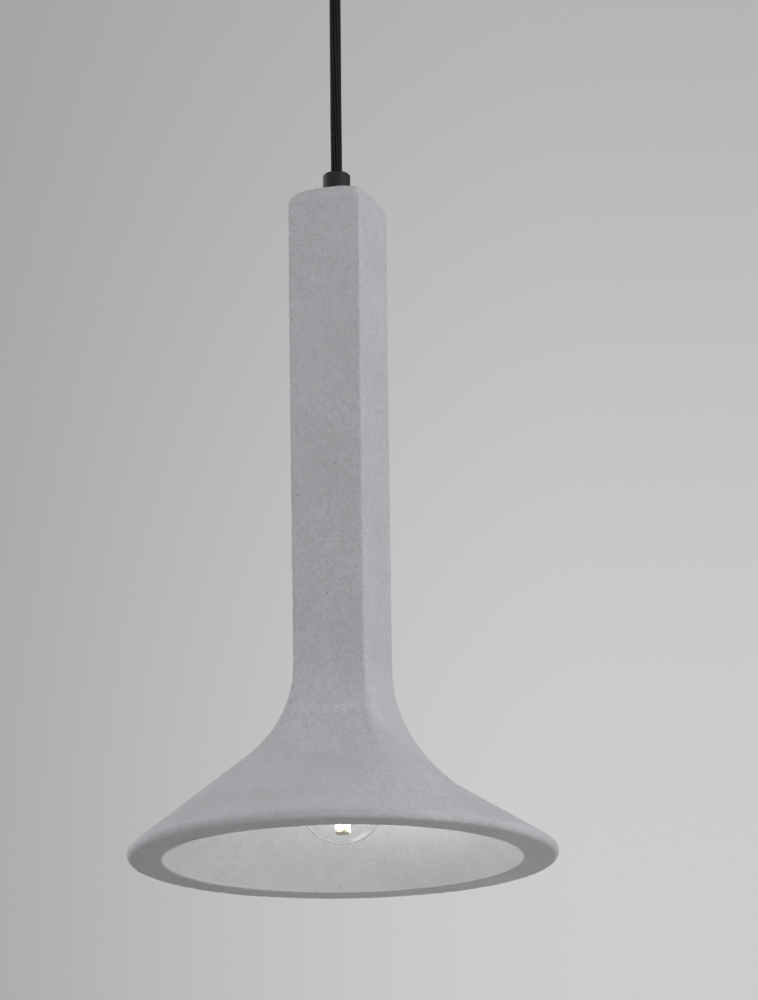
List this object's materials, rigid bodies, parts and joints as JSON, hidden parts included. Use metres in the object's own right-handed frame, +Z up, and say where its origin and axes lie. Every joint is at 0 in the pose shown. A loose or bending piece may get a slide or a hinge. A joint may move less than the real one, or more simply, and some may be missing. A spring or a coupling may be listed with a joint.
{
  "type": "pendant ceiling light",
  "caption": "Pendant ceiling light with a cast concrete bell shade on a long square stem, hung on a black textile cord from a round black canopy, with a small globe bulb.",
  "frame": {"origin": "on the lamp's axis in the plane of the ceiling, midway between the two slots of the ceiling bracket", "axes": "+Z up, out of the room into the ceiling, along the lamp's axis; X runs through the two slots and square to one pair of stem faces; +Y towards the clamp screws at the back"},
  "size_m": [0.2196, 0.2196, 0.54],
  "materials": {
    "concrete": "matte",
    "black_metal": "satin",
    "black_steel": "satin",
    "black_cord": "matte",
    "zinc_steel": "satin",
    "brass": "satin",
    "white_plastic": "satin",
    "brown_sleeve": "satin",
    "blue_sleeve": "satin",
    "earth_sleeve": "satin",
    "black_rubber": "matte",
    "black_bakelite": "satin",
    "porcelain": "gloss",
    "black_glass": "gloss",
    "solder": "satin",
    "clear_glass": "gloss",
    "nickel": "gloss",
    "filament": "matte"
  },
  "bodies": {
    "root": {"ceiling_bracket": "zinc_steel", "terminal_block": "white_plastic", "terminal_barrels": "brass", "terminal_screws": "brass", "block_screw": "zinc_steel", "earth_screw": "brass", "earth_washer": "zinc_steel", "earth_link": "earth_sleeve", "canopy": "black_metal", "canopy_side_screws": "black_metal", "canopy_grip": "black_metal", "canopy_grip_washer": "zinc_steel", "canopy_grip_nut": "zinc_steel", "canopy_clamp_screw": "black_steel", "cord_tail": "black_cord", "live_wire_upper": "brown_sleeve", "neutral_wire_upper": "blue_sleeve", "earth_wire_upper": "earth_sleeve"},
    "cord_neck": {"cord_neck": "black_cord"},
    "cord": {"cord": "black_cord"},
    "shade": {"stem_grip": "black_metal", "stem_clamp_screw": "black_steel", "stem_gasket": "black_rubber", "concrete_shade": "concrete", "suspension_tube": "zinc_steel", "stem_washer": "zinc_steel", "stem_nut": "zinc_steel", "holder_locknut": "zinc_steel", "holder_cap": "black_bakelite", "holder_shell": "black_bakelite", "holder_insert": "porcelain", "holder_screw_shell": "brass", "holder_centre_contact": "brass", "holder_terminal_screws": "brass", "live_wire_lower": "brown_sleeve", "neutral_wire_lower": "blue_sleeve", "earth_wire_lower": "earth_sleeve"},
    "bulb_tip": {"bulb_insulator": "black_glass", "bulb_contact": "solder"},
    "bulb": {"bulb_globe": "clear_glass", "bulb_cap": "nickel", "bulb_stem": "clear_glass", "bulb_filaments": "filament", "bulb_leads": "nickel"}
  },
  "joints": [
    {"name": "swing_side", "type": "hinge", "parent": "root", "child": "cord_neck", "pos_m": [0, 0, -0.038], "axis": [0, 1, 0], "range_deg": [-20, 20], "deforming": ["cord_neck"]},
    {"name": "swing_front", "type": "hinge", "parent": "cord_neck", "child": "cord", "pos_m": [0, 0, -0.038], "axis": [1, 0, 0], "range_deg": [-20, 20]},
    {"name": "shade_turn", "type": "hinge", "parent": "cord", "child": "shade", "pos_m": [0, 0, -0.168], "axis": [0, 0, 1], "range_deg": [-180, 180]},
    {"name": "bulb_travel", "type": "slide", "parent": "shade", "child": "bulb_tip", "axis": [0, 0, -1], "range_m": [0, 0.01129]},
    {"name": "bulb_turn", "type": "hinge", "parent": "bulb_tip", "child": "bulb", "pos_m": [0, 0, -0.48], "axis": [0, 0, -1], "range_deg": [0, 1440]}
  ],
  "couplings": [
    {"joint": "bulb_turn", "follows": "bulb_travel", "rad_per_m": 2226.5}
  ]
}
